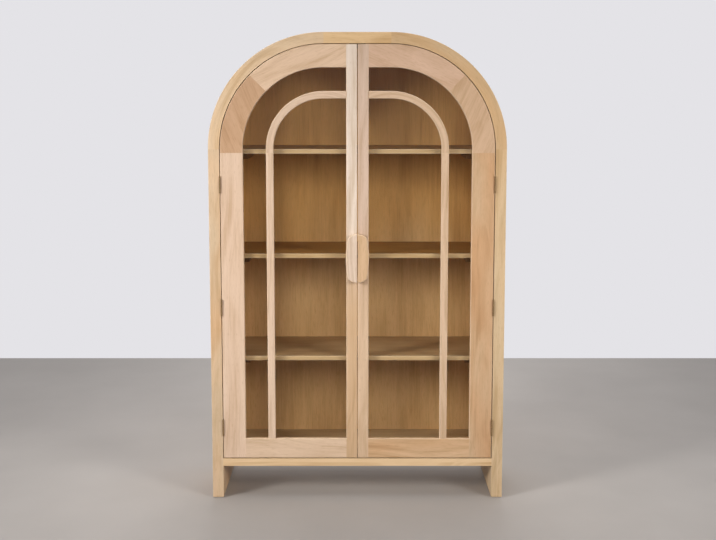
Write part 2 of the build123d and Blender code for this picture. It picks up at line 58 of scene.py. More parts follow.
scene = bpy.context.scene
case_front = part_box("side_panel_left")[0].y
lens = bpy.data.cameras.new("camera")
lens.lens = LENS_MM
lens.shift_x = FRAME_SIDE
lens.shift_y = FRAME_DROP
camera = bpy.data.objects.new("camera", lens)
camera.location = (0, case_front - EYE_DISTANCE, EYE_HEIGHT)
camera.rotation_euler = (radians(90 - TILT_DOWN), 0, 0)
scene.collection.objects.link(camera)
scene.camera = camera
scene.view_settings.view_transform = "Standard"


# ---------------------------------------------------------------------------------------
# Stage: a plain floor of trowelled cement that ends two metres behind the cabinet, against
# an even pale background. Two soft lamps stand in front like the windows of a room, a wide
# one lights the back, and a large one hangs above.
# ---------------------------------------------------------------------------------------
def colour(code):
    """A hex sRGB colour as linear red, green, blue and alpha."""
    shares = [int(code[i:i + 2], 16) / 255 for i in (1, 3, 5)]
    return [s / 12.92 if s <= 0.04045 else ((s + 0.055) / 1.055) ** 2.4 for s in shares] + [1.0]


def add(tree, kind, inputs=None, stops=(), **settings):
    """Add a shader node with its settings. Inputs are plain values, or sockets to link from.
    Stops are a colour ramp's places in rising order, each with a colour or a grey."""
    made = tree.nodes.new("ShaderNode" + kind)
    for name, value in settings.items():
        setattr(made, name, value)
    for name, value in (inputs or {}).items():
        if isinstance(value, bpy.types.NodeSocket):
            tree.links.new(value, made.inputs[name])
        else:
            made.inputs[name].default_value = value
    for count, (place, tone) in enumerate(stops):
        spots = made.color_ramp.elements
        spot = spots[count] if count < 2 else spots.new(place)     # a new ramp holds two
        spot.position = place
        spot.color = tone if isinstance(tone, list) else [tone, tone, tone, 1.0]
    return made


def blank(name):
    """A new material with an empty node tree."""
    material = bpy.data.materials.new(name)
    material.use_nodes = True
    material.node_tree.nodes.clear()
    return material, material.node_tree


FLOOR_BACK = 2.17                  # metres behind the cabinet's middle
FLOOR_REACH = 14.0                 # half of the floor's side
CLOUDS_PER_METRE = 2.2             # each about 450 mm wide
NOISE_LOW, NOISE_HIGH = 0.3, 0.7   # a noise pattern's values seldom go past these
WALL = "#E4E3E7"
SKY_STRENGTH = 0.12                # of the light from all round
# The floor's own colour takes over from its light and shade between these distances in
# metres, by up to this share, so that it looks even far off
EVEN_FROM = 1.6
EVEN_TO = 7.0
EVEN_SHARE = 0.6

bpy.ops.mesh.primitive_plane_add(size=2 * FLOOR_REACH, location=(0, FLOOR_BACK - FLOOR_REACH, 0))
floor = bpy.context.object
floor.name = "floor"
bpy.ops.object.transform_apply(location=True, rotation=False, scale=False)

# Trowelled cement: dull and grey, with faint cloudy patches
cement, tree = blank("trowelled_cement")
spot = add(tree, "TexCoord").outputs["Object"]
cloud = add(tree, "TexNoise", {"Vector": spot, "Scale": CLOUDS_PER_METRE, "Detail": 5.0}).outputs["Fac"]
patches = [(NOISE_LOW, colour("#B0ABA8")), (NOISE_HIGH, colour("#B7B2AF"))]
tint = add(tree, "ValToRGB", {"Fac": cloud}, stops=patches).outputs["Color"]
shade = add(tree, "BsdfPrincipled", {"Base Color": tint, "Roughness": 0.8})
glow = add(tree, "Emission", {"Color": tint, "Strength": 1.0})
away = add(tree, "VectorMath", {0: spot}, operation="LENGTH").outputs["Value"]
share = add(
    tree, "MapRange", {"Value": away, "From Min": EVEN_FROM, "From Max": EVEN_TO, "To Max": EVEN_SHARE}
).outputs[0]
seen = add(tree, "LightPath").outputs["Is Camera Ray"]
share = add(tree, "Math", {0: seen, 1: share}, operation="MULTIPLY").outputs[0]
both = add(tree, "MixShader", {0: share, 1: shade.outputs[0], 2: glow.outputs[0]})
add(tree, "OutputMaterial", {"Surface": both.outputs[0]})
floor.data.materials.append(cement)

# Background: the wall's colour to the camera and in lacquer, metal and glass, and to
# everything else a weak white light
world = bpy.data.worlds.new("studio")
world.use_nodes = True
tree = world.node_tree
tree.nodes.clear()
path = add(tree, "LightPath")
seen = path.outputs["Is Camera Ray"]
for ray in ("Is Glossy Ray", "Is Transmission Ray"):
    seen = add(tree, "Math", {0: seen, 1: path.outputs[ray]}, operation="MAXIMUM").outputs[0]
sky = add(tree, "Background", {"Color": colour("#FFFFFF"), "Strength": SKY_STRENGTH})
wall = add(tree, "Background", {"Color": colour(WALL), "Strength": 1.0})
both = add(tree, "MixShader", {0: seen, 1: sky.outputs[0], 2: wall.outputs[0]})
add(tree, "OutputWorld", {"Surface": both.outputs[0]})
scene.world = world


def soft_lamp(name, place, aim, size, spread, watts, tone):
    """A large square lamp that faces the point `aim` and isn't seen itself, neither through glass
    nor mirrored in the lacquer. Its light spreads over this many degrees."""
    lamp = bpy.data.lights.new(name, "AREA")
    lamp.shape = "SQUARE"
    lamp.size = size
    lamp.spread = radians(spread)
    lamp.energy = watts
    lamp.color = colour(tone)[:3]
    holder = bpy.data.objects.new(name, lamp)
    holder.location = place
    holder.rotation_euler = (Vector(aim) - Vector(place)).to_track_quat("-Z", "Y").to_euler()
    holder.visible_camera = False
    holder.visible_glossy = False
    holder.visible_transmission = False
    scene.collection.objects.link(holder)


DOORS = (0, 0, 0.8)
soft_lamp("window_left", (-3.9, -2.8, 2.1), aim=DOORS, size=1.3, spread=55, watts=20.6, tone="#FFFCF7")
soft_lamp("window_right", (3.1, -3.0, 2.1), aim=DOORS, size=1.3, spread=55, watts=12, tone="#FFFAF2")
soft_lamp("window_back", (0, 4.2, 3.0), aim=(0, 0.2, 1.0), size=2.6, spread=90, watts=31, tone="#FFFFFF")
soft_lamp("ceiling", (0, 1.0, 7.0), aim=(0, 1.0, 0), size=8.0, spread=180, watts=250, tone="#FFFFFF")

# ---------------------------------------------------------------------------------------
# Case frame: two upright side panels, two bent corners and a flat top, glued up in two
# layers to 42 mm from pale open-grained ash, sanded and lacquered matt. Grain runs up the
# sides, follows the bend of the corners and runs across the top and the bottom board.
# ---------------------------------------------------------------------------------------
MM = 0.001
LATE_WOOD = (0.72, 0.64, 0.52)     # dense wood's shares of the board's red, green and blue
EARLY_WOOD = (1.13, 1.16, 1.22)    # and those of open wood
ARRIS_HIGHLIGHT = "#F0D9BC"                  # sanded edges: partly their paler wood, partly a painted highlight
# Each pattern's length along the fibres and width across them in mm, and its detail
GRAIN = {
    "wander": (420, 120, 1.0),     # bends the growth rings and the border between two tones
    "cloud": (300, 55, 2.0),       # broad pale and dark patches
    "fibre": (150, 5, 3.0),        # fine streaks
    "fleck": (24, 1.6, 0.0),       # open pores, drawn wider than their 0.3 mm so that they show
    "blush": (420, 110, 2.0),      # warmer patches
}
PATTERN_SHIFT = 40                 # in pattern lengths, how far chance may move a pattern
HEART_BEHIND = (50, 120)           # mm, where chance puts the tree's heart behind a board
HEART_BESIDE = (40, 160)           # and to one side of it
TONE_WEIGHTS = {"cloud": 0.75, "fibre": 0.5}    # how far each pattern sways a board's tone
STAVE_WEIGHT = 0.22
RING_WANDER = 70 * MM
BORDER_WANDER = 500 * MM
LOWER_FADE = (100 * MM, 400 * MM)  # above a border, where the wandering lower tone fades out
TONE_STOPS = (0.1, 0.5, 0.9)       # late wood, the board's own tone, early wood
BLUSH_PATCHES = [(0.38, 0.0), (0.66, 0.6)]
PORES = [(0.26, 0.4), (0.36, 0.0)]
# How far a face looks forward: where the paler arris, partly a painted highlight, shows by
# these shares, and where the tone of the lipping sets in and is full
ARRIS_HIGHLIGHT_BAND = [(0.2, 0.0), (0.5, 0.6), (0.85, 0.6), (0.97, 0.0)]
LIPPING_BAND = {"From Min": -0.3, "From Max": -0.6}
LACQUER_ROUGHNESS = (0.45, 0.55)
PORE_DEPTH = 0.2 * MM
FIBRE_DEPTH = 0.4                  # share of a pore's depth


def finish(node, material):
    """Give a CAD node one finish all over."""
    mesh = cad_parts[node].data
    mesh.materials.clear()
    mesh.materials.append(material)


def along_grain(tree, spot, node, turn, bend):
    """The place on a board: along its fibres, into the cabinet's depth and across, from the
    board's middle. Round a bend it is measured along the outer face and from it inwards."""
    low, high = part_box(node)
    middle = (low + high) / 2
    if not bend:
        turned = Matrix.Rotation(radians(turn), 3, "Y")
        return add(
            tree,
            "Mapping",
            {"Vector": spot, "Rotation": (0, radians(turn), 0), "Location": -(turned @ middle)},
        ).outputs[0]
    centre = Vector((bend[0], middle.y, bend[1]))
    outer = high.z - bend[1]
    reach = add(tree, "VectorMath", {0: spot, 1: centre}, operation="SUBTRACT").outputs[0]
    parts = add(tree, "SeparateXYZ", {0: reach}).outputs
    flat = add(tree, "VectorMath", {0: reach, 1: (1, 0, 1)}, operation="MULTIPLY").outputs[0]
    radius = add(tree, "VectorMath", {0: flat}, operation="LENGTH").outputs["Value"]
    across = add(tree, "Math", {0: radius, 1: outer}, operation="SUBTRACT").outputs[0]
    angle = add(tree, "Math", {0: parts["Z"], 1: parts["X"]}, operation="ARCTAN2").outputs[0]
    along = add(tree, "Math", {0: angle, 1: outer}, operation="MULTIPLY").outputs[0]
    return add(tree, "CombineXYZ", {"X": along, "Y": parts["Y"], "Z": across}).outputs[0]


def stave_tones(tree, place, staves, chance):
    """A tone of its own for each glued stave, from 0 to 1."""
    parts = add(tree, "SeparateXYZ", {0: place}).outputs
    layer = add(tree, "Math", {0: parts["Z"], 1: staves[0] * MM}, operation="DIVIDE").outputs[0]
    strip = add(tree, "Math", {0: parts["Y"], 1: staves[1] * MM}, operation="DIVIDE").outputs[0]
    layer = add(tree, "Math", {0: layer}, operation="FLOOR").outputs[0]
    strip = add(tree, "Math", {0: strip}, operation="FLOOR").outputs[0]
    tree_number = chance.uniform(0, PATTERN_SHIFT)
    stave = add(tree, "CombineXYZ", {"X": layer, "Y": strip, "Z": tree_number}).outputs[0]
    return add(tree, "TexWhiteNoise", {"Vector": stave}).outputs["Value"]


def growth_rings(tree, place, wander, heart, taper, ring_mm, stave):
    """Growth rings round the tree's heart, which wanders and tapers along the board. Their width
    varies, and each stave comes from another part of the tree."""
    offset = (0, heart[0] * MM, heart[1] * MM)
    reach = add(tree, "VectorMath", {0: place, 1: offset}, operation="SUBTRACT").outputs[0]
    flat = add(tree, "VectorMath", {0: reach, 1: (0, 1, 1)}, operation="MULTIPLY").outputs[0]
    radius = add(tree, "VectorMath", {0: flat}, operation="LENGTH").outputs["Value"]
    along = add(tree, "SeparateXYZ", {0: place}).outputs["X"]
    for part, share in ((wander, RING_WANDER), (along, taper)):
        radius = add(tree, "Math", {0: part, 1: share, 2: radius}, operation="MULTIPLY_ADD").outputs[0]
    if stave:
        radius = add(tree, "Math", {0: radius, 1: stave}, operation="ADD").outputs[0]
    rings = add(tree, "Math", {0: radius, 1: ring_mm * MM}, operation="DIVIDE").outputs[0]
    return add(
        tree,
        "TexNoise",
        {"W": rings, "Scale": 1.0, "Detail": 2.0, "Roughness": 0.6},
        noise_dimensions="1D",
    ).outputs["Fac"]


def wood_shade(tree, tone, depth):
    """A board's colour from dense late wood to pale early wood, as `depth` goes from 0 to 1."""
    base = colour(tone)
    late = [c * share for c, share in zip(base, LATE_WOOD)] + [1.0]
    early = [min(c * share, 1.0) for c, share in zip(base, EARLY_WOOD)] + [1.0]
    stops = list(zip(TONE_STOPS, (late, base, early)))
    return add(tree, "ValToRGB", {"Fac": depth}, stops=stops).outputs["Color"]


def ash(node, tone, turn=90, heart=None, ring_mm=12, taper=0.03, staves=None, bend=None,
        blush=None, lower=None, lipping=None, figure=0.6):
    """Finish a node as one board of lacquered ash of the colour `tone`. The eye sees a soft figure
    of rings, fine flecks along the fibres, paler edges that are partly a painted highlight, and a dull
    sheen.

    Its fibres run `turn` degrees above the cabinet's width, or round the point `bend`. The
    tree's heart lay `heart` millimetres behind and beside the board's middle, its rings are
    `ring_mm` wide and show as strongly as `figure`. `staves` are the thickness and width of its
    glued layers, `blush` the tone of its warmer patches, `lower` its tone below a height, and
    `lipping` the tone of its front edge.
    """
    material, tree = blank(f"lacquered_ash_{node}")
    chance = random.Random(node)
    coords = add(tree, "TexCoord").outputs
    grain = along_grain(tree, coords["Object"], node, turn, bend)
    fields = {}
    for pattern, (length, width, detail) in GRAIN.items():
        stretched = add(
            tree,
            "Mapping",
            {
                "Vector": grain,
                "Scale": (1 / (length * MM), 1 / (width * MM), 1 / (width * MM)),
                "Location": [chance.uniform(-PATTERN_SHIFT, PATTERN_SHIFT) for _ in range(3)],
            },
        ).outputs[0]
        fields[pattern] = add(
            tree, "TexNoise", {"Vector": stretched, "Scale": 1.0, "Detail": detail, "Roughness": 0.55}
        ).outputs["Fac"]
    if heart is None:
        heart = (chance.uniform(*HEART_BEHIND), chance.choice((-1, 1)) * chance.uniform(*HEART_BESIDE))
    weights = dict(TONE_WEIGHTS, figure=figure)
    if staves:
        fields["stave"] = stave_tones(tree, grain, staves, chance)
        weights["stave"] = STAVE_WEIGHT
    fields["figure"] = growth_rings(
        tree, grain, fields["wander"], heart, taper, ring_mm, fields.get("stave")
    )
    # Where every pattern is at its middle value, 0.5, the tone is the board's own
    depth = 0.5 - sum(weights.values()) / 2
    for pattern, weight in weights.items():
        depth = add(
            tree, "Math", {0: fields[pattern], 1: weight, 2: depth}, operation="MULTIPLY_ADD"
        ).outputs[0]

    # What lies over the board's own tone: each with the share of it that shows
    coats = []
    if blush:
        share = add(tree, "ValToRGB", {"Fac": fields["blush"]}, stops=BLUSH_PATCHES).outputs[0]
        coats.append((share, wood_shade(tree, blush, depth)))
    if lower:
        lower_tone, border = lower
        height = add(tree, "SeparateXYZ", {0: coords["Object"]}).outputs["Z"]
        height = add(
            tree, "Math", {0: fields["wander"], 1: BORDER_WANDER, 2: height}, operation="MULTIPLY_ADD"
        ).outputs[0]
        fade = {"From Min": border + LOWER_FADE[0], "From Max": border + LOWER_FADE[1]}
        share = add(
            tree,
            "MapRange",
            {"Value": height, "To Min": 1.0, "To Max": 0.0, **fade},
            interpolation_type="SMOOTHSTEP",
        ).outputs[0]
        coats.append((share, wood_shade(tree, lower_tone, depth)))
    share = add(tree, "ValToRGB", {"Fac": fields["fleck"]}, stops=PORES).outputs[0]
    coats.append((share, [c * dark for c, dark in zip(colour(tone), LATE_WOOD)] + [1.0]))
    facing = add(tree, "SeparateXYZ", {0: coords["Normal"]}).outputs["Y"]
    if lipping:
        share = add(tree, "MapRange", {"Value": facing, **LIPPING_BAND}).outputs[0]
        coats.append((share, wood_shade(tree, lipping, depth)))
    # Bevel faces that look partly sideways take the paler arris tone: partly sanded wood, partly a painted
    # highlight
    facing = add(tree, "Math", {0: facing}, operation="ABSOLUTE").outputs[0]
    share = add(tree, "ValToRGB", {"Fac": facing}, stops=ARRIS_HIGHLIGHT_BAND).outputs[0]
    coats.append((share, colour(ARRIS_HIGHLIGHT)))
    surface = wood_shade(tree, tone, depth)
    for share, shade in coats:
        surface = add(tree, "Mix", {0: share, 6: surface, 7: shade}, data_type="RGBA").outputs[2]

    # Lacquer is a little duller along some fibres, and sinks into the pores
    smooth, dull = LACQUER_ROUGHNESS
    sheen = add(
        tree,
        "MapRange",
        {
            "Value": fields["fibre"],
            "From Min": NOISE_LOW,
            "From Max": NOISE_HIGH,
            "To Min": smooth,
            "To Max": dull,
        },
    ).outputs[0]
    relief = add(
        tree, "Math", {0: fields["fibre"], 1: FIBRE_DEPTH, 2: fields["fleck"]}, operation="MULTIPLY_ADD"
    ).outputs[0]
    bump = add(tree, "Bump", {"Height": relief, "Strength": 0.25, "Distance": PORE_DEPTH}).outputs[0]
    shade = add(tree, "BsdfPrincipled", {"Base Color": surface, "Roughness": sheen, "Normal": bump})
    add(tree, "OutputMaterial", {"Surface": shade.outputs["BSDF"]})
    finish(node, material)


LAYERS = (21, 95)                  # mm, thickness and width of the staves
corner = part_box("arch_corner_right")[0]
BENDS = {"left": (-corner.x, corner.z), "right": (corner.x, corner.z)}     # centres of the arches
ash("side_panel_left", "#D3BA9C", staves=LAYERS, blush="#E0B488")
ash("side_panel_right", "#D3BA98", staves=LAYERS, blush="#D3AE80")
# The left corner is paler than the right: partly its wood, partly painted light on the left of the front
ash("arch_corner_left", "#DEC4A5", bend=BENDS["left"], staves=LAYERS, blush="#DFBA8C")
ash("arch_corner_right", "#CCB18D", bend=BENDS["right"], staves=LAYERS, blush="#CEA271")
ash("top_panel", "#DFBD90", turn=0, staves=LAYERS)
ash("bottom_board", "#BE9F78", turn=0, staves=(60, 95), lipping="#E3C49C")

# ---------------------------------------------------------------------------------------
# Loose tenons: planed, unfinished beech, glued half into each of two pieces. Short fibres
# make it look even, with a fine dark stipple.
# ---------------------------------------------------------------------------------------
BEECH_FLECK_MM = 1.2               # about the real size of its ray flecks
BEECH_RELIEF = 0.1 * MM

beech, tree = blank("planed_beech")
spot = add(tree, "TexCoord").outputs["Object"]
stipple = add(
    tree, "TexNoise", {"Vector": spot, "Scale": 1 / (BEECH_FLECK_MM * MM), "Detail": 2.0}
).outputs["Fac"]
flecks = [(NOISE_LOW, colour("#B98D68")), (NOISE_HIGH, colour("#D6B08A"))]
tint = add(tree, "ValToRGB", {"Fac": stipple}, stops=flecks).outputs[0]
bump = add(tree, "Bump", {"Height": stipple, "Strength": 0.2, "Distance": BEECH_RELIEF}).outputs[0]
shade = add(tree, "BsdfPrincipled", {"Base Color": tint, "Roughness": 0.7, "Normal": bump})
add(tree, "OutputMaterial", {"Surface": shade.outputs["BSDF"]})
for node in ("case_tenons", "left_door_tenons", "right_door_tenons"):
    finish(node, beech)

# ---------------------------------------------------------------------------------------
# Back panel: 10 mm plywood with ash veneer in leaves 165 mm wide, grain upright, screwed
# into a rebate round the case. Below the middle shelf the veneer is toned paler and greyer as a
# painted reflection from the glass in front of it.
# ---------------------------------------------------------------------------------------
middle_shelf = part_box("shelf_middle")[1].z
ash("back_panel", "#DEAA6B", staves=(165, 1000), lower=("#E2B681", middle_shelf), figure=0.2, ring_mm=22)

# ---------------------------------------------------------------------------------------
# Screws: countersunk wood screws with a cross recess, turned and rolled from steel wire. Large
# ones go through the back panel and into the pulls, small ones hold the catch and its strikes.
# ---------------------------------------------------------------------------------------
LOOKS_DOWN = -0.9                  # a face looks down when its normal's Z is below this


def select_underside(piece):
    """Go into edit mode with only the piece's downward faces selected."""
    bpy.ops.object.mode_set(mode="EDIT")
    bpy.ops.mesh.select_mode(type="FACE")
    bpy.ops.mesh.select_all(action="DESELECT")
    bpy.ops.object.mode_set(mode="OBJECT")
    for face in piece.data.polygons:
        face.select = face.normal.z < LOOKS_DOWN
    bpy.ops.object.mode_set(mode="EDIT")


ROUND = 20                         # sides of a small round piece
HEAD_RIM = 0.3                     # mm, upright edge of the head
SCREW_POINT = 4                    # mm, length of the point
POINT_TIP = 0.1                    # share of the shank's width left at its end
RECESS_WIDTH = 0.62                # shares of the head's width
RECESS_SLOT = 0.15
RECESS_DEPTH = 0.3
RECESS_TAPER = 0.35                # share of the recess's width left at its bottom


def countersunk_screw(name, head_mm, shank_mm, length_mm):
    """One screw of these radii and this length: the middle of its head's face is at the origin
    and its point looks down."""
    head, shank, rim, point = (mm * MM for mm in (head_mm, shank_mm, HEAD_RIM, SCREW_POINT))
    bpy.ops.mesh.primitive_cylinder_add(vertices=ROUND, radius=head, depth=rim, location=(0, 0, -rim / 2))
    screw = bpy.context.object
    screw.name = name
    bpy.ops.object.transform_apply(location=True, rotation=False, scale=False)
    select_underside(screw)
    cone = head - shank
    body = length_mm * MM - rim - cone - point
    for drop, share in ((cone, shank / head), (body, 1.0), (point, POINT_TIP)):
        bpy.ops.mesh.extrude_region_move(TRANSFORM_OT_translate={"value": (0, 0, -drop)})
        bpy.ops.transform.resize(value=(share, share, 1), center_override=(0, 0, 0))
    bpy.ops.object.mode_set(mode="OBJECT")

    # The recess is cut by one tapered blade, and again by the same blade a quarter turn round.
    # Half of the blade stands above the head.
    width = 2 * head
    bpy.ops.mesh.primitive_cube_add(size=1, location=(0, 0, 0))
    blade = bpy.context.object
    blade.scale = (width * RECESS_WIDTH, width * RECESS_SLOT, 2 * width * RECESS_DEPTH)
    bpy.ops.object.transform_apply(location=False, rotation=False, scale=True)
    select_underside(blade)
    bpy.ops.transform.resize(value=(RECESS_TAPER, RECESS_TAPER, 1), center_override=(0, 0, 0))
    bpy.ops.object.mode_set(mode="OBJECT")
    for turn in (0, 90):
        blade.rotation_euler = (0, 0, radians(turn))
        bpy.context.view_layer.update()
        cut = screw.modifiers.new("recess", "BOOLEAN")
        cut.operation = "DIFFERENCE"
        cut.object = blade
        with bpy.context.temp_override(object=screw, active_object=screw):
            bpy.ops.object.modifier_apply(modifier=cut.name)
    bpy.data.objects.remove(blade)
    return screw


FACE_DEPTH = 0.05                  # mm, within which corners lie on the outermost faces
HEAD_REACH = 10                    # mm, within which corners belong to one head


def head_places(node, direction):
    """The middles of the heads in a node of screws, whose faces look in this direction."""
    outward = Vector(direction)
    corners = [vertex.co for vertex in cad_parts[node].data.vertices]
    face = max(outward.dot(corner) for corner in corners)
    heads = []
    for corner in corners:
        if outward.dot(corner) < face - FACE_DEPTH * MM:
            continue
        for head in heads:
            if (head[0] - corner).length < HEAD_REACH * MM:
                head.append(corner)
                break
        else:
            heads.append([corner])
    middles = []
    for head in heads:
        low = Vector([min(corner[i] for corner in head) for i in range(3)])
        high = Vector([max(corner[i] for corner in head) for i in range(3)])
        middles.append((low + high) / 2)
    return middles


SMOOTH_BELOW = 35                  # degrees, the sharpest edge that is shaded smooth


def copies(pattern, name, places, material):
    """Copies of a pattern at these places, each with its turn, joined to one piece."""
    bpy.ops.object.select_all(action="DESELECT")
    made = []
    for place, turn in places:
        copy = pattern.copy()
        copy.data = pattern.data.copy()
        scene.collection.objects.link(copy)
        copy.location = place
        copy.rotation_euler = turn
        made.append(copy)
    for copy in made:
        copy.select_set(True)
    piece = made[0]
    bpy.context.view_layer.objects.active = piece
    if len(made) > 1:
        bpy.ops.object.join()
    bpy.ops.object.transform_apply(location=True, rotation=True, scale=False)
    bpy.ops.object.shade_smooth_by_angle(angle=radians(SMOOTH_BELOW))
    piece.name = name
    piece.data.materials.clear()
    piece.data.materials.append(material)
    bpy.ops.object.select_all(action="DESELECT")
    return piece


QUARTER_TURN = 1.57                # radians


def set_screws(pattern, node, direction, body, material):
    """Set a screw at each of a node's places, its recess turned by chance, in place of the node."""
    chance = random.Random(node)
    upright = Vector(direction).to_track_quat("Z", "Y").to_matrix()
    places = [
        (place, (upright @ Matrix.Rotation(chance.uniform(0, QUARTER_TURN), 3, "Z")).to_euler())
        for place in head_places(node, direction)
    ]
    piece = copies(pattern, f"{node}_cross_recessed", places, material)
    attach(piece, body)
    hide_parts(node)


FULL_PLATING = 0.65                # noise above which the plating has its full colour
WORN_PLATING = 0.72                # share of its colour left where it is thin
WORN_GLOSS = 0.08                  # added to its roughness there


def plated(name, tone, roughness, blotch_mm):
    """Plated steel: the plating's colour, a little uneven in tone and gloss."""
    material, tree = blank(name)
    spot = add(tree, "TexCoord").outputs["Object"]
    blotch = add(
        tree, "TexNoise", {"Vector": spot, "Scale": 1 / (blotch_mm * MM), "Detail": 3.0}
    ).outputs["Fac"]
    base = colour(tone)
    worn = [c * WORN_PLATING for c in base[:3]] + [1.0]
    tints = [(NOISE_LOW, worn), (FULL_PLATING, base)]
    tint = add(tree, "ValToRGB", {"Fac": blotch}, stops=tints).outputs[0]
    gloss = add(
        tree,
        "MapRange",
        {
            "Value": blotch,
            "From Min": NOISE_LOW,
            "From Max": NOISE_HIGH,
            "To Min": roughness + WORN_GLOSS,
            "To Max": roughness,
        },
    ).outputs[0]
    shade = add(tree, "BsdfPrincipled", {"Base Color": tint, "Roughness": gloss, "Metallic": 1.0})
    add(tree, "OutputMaterial", {"Surface": shade.outputs["BSDF"]})
    return material


# Bright zinc from the plating bath: pale grey with a soft sheen and faint blotches
zinc = plated("zinc_plated_steel", "#C9C6BE", roughness=0.34, blotch_mm=3)
SIDES = ("left", "right")
LARGE_SCREW = (4.0, 2.0)           # mm, radii of the head and the shank
SMALL_SCREW = (2.6, 1.4)
BACKWARD = (0, 1, 0)
DOWNWARD = (0, 0, -1)
bpy.ops.object.select_all(action="DESELECT")
back_screw = countersunk_screw("back_screw", *LARGE_SCREW, length_mm=28)
pull_screw = countersunk_screw("pull_screw", *LARGE_SCREW, length_mm=34)
catch_screw = countersunk_screw("catch_screw", *SMALL_SCREW, length_mm=28)
strike_screw = countersunk_screw("strike_screw", *SMALL_SCREW, length_mm=14)
set_screws(back_screw, "back_screws", BACKWARD, "case", zinc)
set_screws(catch_screw, "catch_screws", DOWNWARD, "case", zinc)
for side in SIDES:
    door = f"{side}_door"
    set_screws(pull_screw, f"{door}_pull_screws", BACKWARD, door, zinc)
    set_screws(strike_screw, f"{door}_strike_screw", BACKWARD, door, zinc)
    finish(f"{door}_strike", zinc)
for pattern in (back_screw, pull_screw, catch_screw, strike_screw):
    bpy.data.objects.remove(pattern)

# ---------------------------------------------------------------------------------------
# Shelf pins: turned steel shanks pressed flat at one end to a round-cornered tongue, pushed
# into holes in the side panels, zinc plated.
# ---------------------------------------------------------------------------------------
PIN_RADIUS = 2.5                   # mm, as all of these
PIN_LENGTH = 12
TONGUE_REACH = 10
TONGUE_WIDTH = 12
TONGUE_THICKNESS = 2.5
TONGUE_CORNER = 4                  # radius of its round corners
PIN_EDGE = 0.4                     # width of the worn edges

bpy.ops.mesh.primitive_cube_add(size=1)
tongue = bpy.context.object
tongue.scale = Vector((TONGUE_REACH, TONGUE_WIDTH, TONGUE_THICKNESS)) * MM
tongue.location = Vector((-TONGUE_REACH / 2, 0, PIN_RADIUS - TONGUE_THICKNESS / 2)) * MM
bpy.ops.object.transform_apply(location=True, rotation=False, scale=True)
bpy.ops.object.mode_set(mode="EDIT")
bpy.ops.mesh.select_all(action="DESELECT")
bpy.ops.object.mode_set(mode="OBJECT")
for edge in tongue.data.edges:
    start, end = (tongue.data.vertices[i].co for i in edge.vertices)
    at_tip = max(start.x, end.x) < -TONGUE_REACH / 2 * MM
    edge.select = at_tip and abs(start.z - end.z) > TONGUE_THICKNESS / 2 * MM
bpy.ops.object.mode_set(mode="EDIT")
bpy.ops.mesh.select_mode(type="EDGE")
bpy.ops.mesh.bevel(offset=TONGUE_CORNER * MM, segments=5, affect="EDGES")
bpy.ops.object.mode_set(mode="OBJECT")
bpy.ops.mesh.primitive_cylinder_add(
    vertices=ROUND,
    radius=PIN_RADIUS * MM,
    depth=PIN_LENGTH * MM,
    location=(PIN_LENGTH / 2 * MM, 0, 0),
    rotation=(0, radians(90), 0),
)
pin = bpy.context.object
tongue.select_set(True)
bpy.ops.object.join()
bpy.ops.object.transform_apply(location=True, rotation=True, scale=True)
worn_edge = pin.modifiers.new("worn_edge", "BEVEL")
worn_edge.width = PIN_EDGE * MM
worn_edge.segments = 2
worn_edge.limit_method = "ANGLE"
bpy.ops.object.modifier_apply(modifier=worn_edge.name)

inner_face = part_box("side_panel_right")[0].x
places = []
for sign, turn in ((1, 0), (-1, 180)):
    for place in head_places("shelf_pins", (sign, 0, 0)):
        places.append(((sign * inner_face, place.y, place.z), (0, 0, radians(turn))))
pins = copies(pin, "shelf_pins_flat_tongued", places, zinc)
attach(pins, "case")
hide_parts("shelf_pins")
bpy.data.objects.remove(pin)

# ---------------------------------------------------------------------------------------
# Shelves: 17 mm boards glued up from staves with the grain along them, each on four pins,
# with a batten glued under each end.
# ---------------------------------------------------------------------------------------
# The tops are toned dark, partly their wood and partly painted shade from the case round them; front edges
# keep a paler lipping
SHELF_TONES_WITH_PAINTED_SHADE = {"lower": "#AF8C66", "middle": "#976833", "upper": "#9D7140"}
for level, tone in SHELF_TONES_WITH_PAINTED_SHADE.items():
    ash(f"shelf_{level}", tone, turn=0, staves=(60, 70), lipping="#C3A178")
# The battens' dark tone is painted shade, the shade under the shelves
ash("shelf_battens", "#966E44", turn=0)

# ---------------------------------------------------------------------------------------
# Catch and floor glides: injection moulded plastic, dull and slightly textured. The catch
# holds two ferrite magnets, which are ground flat and nearly black.
# ---------------------------------------------------------------------------------------
GRIT_SHADE = 0.8                   # share of the colour left between the grains
GRIT_RELIEF = 0.1 * MM


def moulded(name, tone, roughness, grit_mm):
    """A moulded or ground surface: one colour with a fine grit in tone and relief."""
    material, tree = blank(name)
    spot = add(tree, "TexCoord").outputs["Object"]
    grit = add(
        tree, "TexNoise", {"Vector": spot, "Scale": 1 / (grit_mm * MM), "Detail": 2.0}
    ).outputs["Fac"]
    base = colour(tone)
    deep = [c * GRIT_SHADE for c in base[:3]] + [1.0]
    tint = add(tree, "ValToRGB", {"Fac": grit}, stops=[(NOISE_LOW, deep), (NOISE_HIGH, base)]).outputs[0]
    bump = add(tree, "Bump", {"Height": grit, "Strength": 0.2, "Distance": GRIT_RELIEF}).outputs[0]
    shade = add(tree, "BsdfPrincipled", {"Base Color": tint, "Roughness": roughness, "Normal": bump})
    add(tree, "OutputMaterial", {"Surface": shade.outputs["BSDF"]})
    return material


# ABS is brown with a soft shine, ferrite dark and dull, and nylon waxy and grey-beige. Their
# grit is drawn coarser than its 0.1 mm, so that it shows.
finish("catch_body", moulded("moulded_brown_abs", "#5B4636", roughness=0.45, grit_mm=0.8))
finish("catch_magnets", moulded("ground_ferrite", "#3B3937", roughness=0.6, grit_mm=0.5))
finish("floor_glides", moulded("moulded_nylon", "#8E8272", roughness=0.55, grit_mm=0.8))

